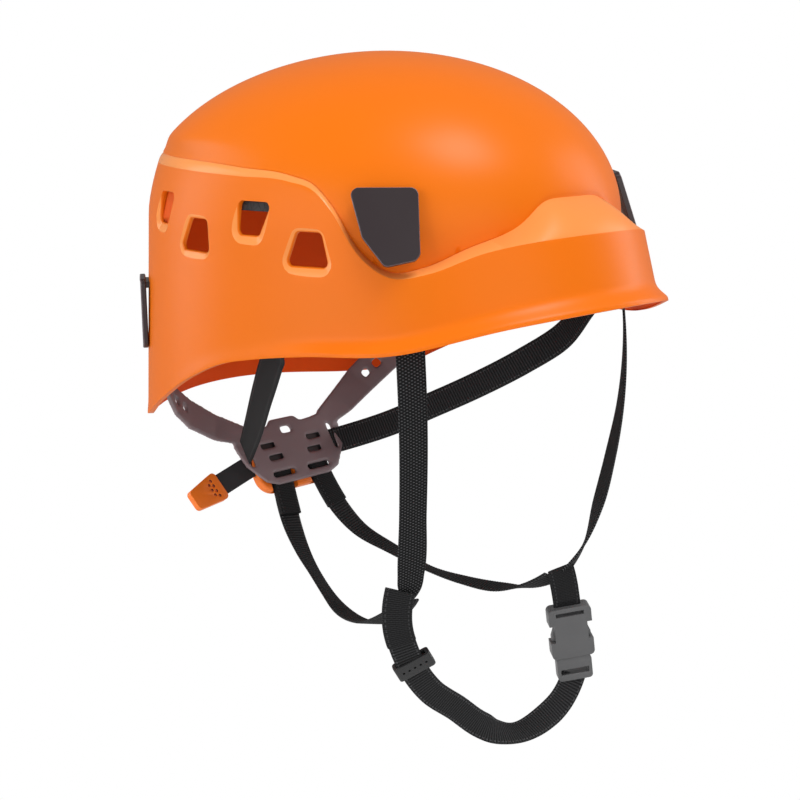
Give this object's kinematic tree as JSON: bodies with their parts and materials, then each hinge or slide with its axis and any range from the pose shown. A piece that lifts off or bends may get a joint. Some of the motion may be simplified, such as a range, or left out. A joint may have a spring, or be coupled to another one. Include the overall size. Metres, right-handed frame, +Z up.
{
  "type": "climbing helmet",
  "caption": "Hard-shell climbing helmet with vents, headlamp clips, tilting nape cradle, webbing harness and side-release chin buckle.",
  "frame": {"origin": "middle of the wearer's head at headband level, which is the head mount", "axes": "+Z up, -Y to the front of the helmet, -X to the wearer's right"},
  "size_m": [0.2104, 0.2742, 0.3344],
  "materials": {
    "shell": "satin moulded ABS",
    "liner_foam": "black expanded polystyrene",
    "pad_fabric": "brushed polyester over foam",
    "clip_plastic": "fine matt moulded nylon",
    "cradle_plastic": "satin moulded polypropylene",
    "orange_plastic": "satin moulded nylon",
    "webbing": "ribbed polyester webbing",
    "black_plastic": "satin moulded acetal",
    "buckle_plastic": "satin moulded acetal"
  },
  "bodies": {
    "helmet": {"outer_shell": "shell", "foam_liner": "liner_foam", "crown_pad": "pad_fabric", "brow_pad": "pad_fabric", "v_strap_right": "webbing", "v_strap_left": "webbing", "headband_right": "webbing", "headband_left": "webbing", "strap_anchors": "black_plastic", "headband_anchors": "black_plastic", "cradle_pins": "cradle_plastic", "loop_strap": "webbing", "buckle_female": "buckle_plastic", "chin_strap": "webbing"},
    "clip_front_right": {"clip_front_right": "clip_plastic"},
    "clip_front_left": {"clip_front_left": "clip_plastic"},
    "clip_rear_right": {"clip_rear_right": "clip_plastic"},
    "clip_rear_left": {"clip_rear_left": "clip_plastic"},
    "cradle": {"nape_cradle": "cradle_plastic", "nape_adjuster": "orange_plastic"},
    "tab": {"pull_tab": "orange_plastic", "pull_strap": "webbing"},
    "keeper": {"strap_keeper": "black_plastic"},
    "buckle_male_half": {"buckle_male": "buckle_plastic", "buckle_prongs": "buckle_plastic"}
  },
  "joints": [
    {"name": "front_right_flex", "type": "hinge", "parent": "helmet", "child": "clip_front_right", "pos_m": [-0.07455, -0.06882, 0.099], "axis": [-0.7011, 0.7131, 0], "range_deg": [0, 8], "stiffness_Nm_per_rad": 0.3},
    {"name": "front_left_flex", "type": "hinge", "parent": "helmet", "child": "clip_front_left", "pos_m": [0.07455, -0.06882, 0.099], "axis": [-0.7011, -0.7131, 0], "range_deg": [0, 8], "stiffness_Nm_per_rad": 0.3},
    {"name": "rear_right_flex", "type": "hinge", "parent": "helmet", "child": "clip_rear_right", "pos_m": [-0.08316, 0.09069, 0.04883], "axis": [0.5769, 0.8168, 0], "range_deg": [0, 8], "stiffness_Nm_per_rad": 0.3},
    {"name": "rear_left_flex", "type": "hinge", "parent": "helmet", "child": "clip_rear_left", "pos_m": [0.08316, 0.09069, 0.04883], "axis": [0.5769, -0.8168, 0], "range_deg": [0, 8], "stiffness_Nm_per_rad": 0.3},
    {"name": "cradle_tilt", "type": "hinge", "parent": "helmet", "child": "cradle", "pos_m": [0, 0.077, 0.008], "axis": [1, 0, 0], "range_deg": [-8, 10], "deforming": ["v_strap_right", "v_strap_left", "headband_right", "headband_left"]},
    {"name": "tab_pull", "type": "slide", "parent": "cradle", "child": "tab", "axis": [-0.9659, -0.1447, -0.2146], "range_m": [0, 0.015]},
    {"name": "keeper_slide", "type": "slide", "parent": "helmet", "child": "keeper", "axis": [0.542, -0.0335, -0.8397], "range_m": [-0.004, 0.008]},
    {"name": "buckle_release", "type": "slide", "parent": "helmet", "child": "buckle_male_half", "axis": [0.1701, -0.01, -0.9854], "range_m": [0, 0.024], "deforming": ["chin_strap", "buckle_prongs"]}
  ]
}
